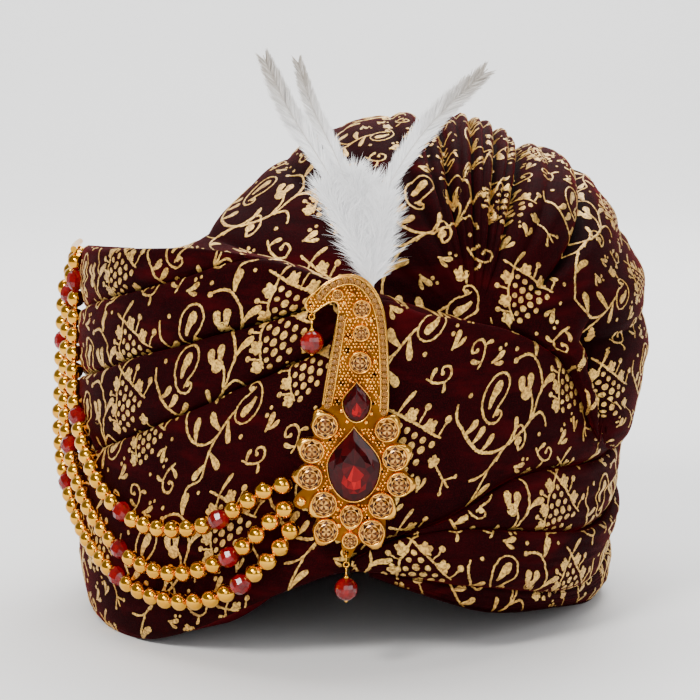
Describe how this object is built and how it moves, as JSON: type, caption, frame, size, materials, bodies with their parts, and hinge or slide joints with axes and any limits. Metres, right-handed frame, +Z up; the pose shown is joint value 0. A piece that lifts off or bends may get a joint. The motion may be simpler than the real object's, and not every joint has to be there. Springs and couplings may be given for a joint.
{
  "type": "tied turban",
  "caption": "Wound turban of foil-printed maroon velvet with a pleated crown fan, a jewelled front brooch, a feather plume and bead strings, resting on its rim.",
  "frame": {"origin": "resting plane at the rim, under the middle of the outer box", "axes": "+Z up from the rim, -Y towards the front with the brooch, +X towards the side of the crown fan's lobes"},
  "size_m": [0.2724, 0.2914, 0.256],
  "materials": {
    "velvet": "pile velvet with a printed gold foil pattern",
    "antique_gold": "polished, pierced and set",
    "bead_gold": "polished",
    "garnet_glass": "cut and polished",
    "champagne_glass": "cut and polished",
    "red_glass": "polished bead",
    "down": "white down and soft feathers"
  },
  "bodies": {
    "root": {"wrap_upper": "velvet", "wrap_middle": "velvet", "wrap_lower": "velvet", "wrap_front": "velvet", "crown_fan": "velvet", "brooch_frame": "antique_gold", "brooch_pin": "antique_gold", "row_outer": "antique_gold", "row_inner": "antique_gold", "stone_large_pear": "garnet_glass", "stone_small_pear": "garnet_glass", "petal_01": "champagne_glass", "petal_02": "champagne_glass", "petal_03": "champagne_glass", "petal_04": "champagne_glass", "petal_05": "champagne_glass", "petal_06": "champagne_glass", "petal_07": "champagne_glass", "petal_08": "champagne_glass", "petal_09": "champagne_glass", "petal_10": "champagne_glass", "petal_11": "champagne_glass", "petal_12": "champagne_glass", "hook_stone_01": "champagne_glass", "hook_stone_02": "champagne_glass", "hook_stone_03": "champagne_glass", "hook_stone_04": "champagne_glass", "drop_upper": "red_glass", "drop_lower": "red_glass", "bead_string_1": "bead_gold", "bead_string_2": "bead_gold", "bead_string_3": "bead_gold", "string_pin": "bead_gold", "plume": "down"}
  },
  "joints": []
}
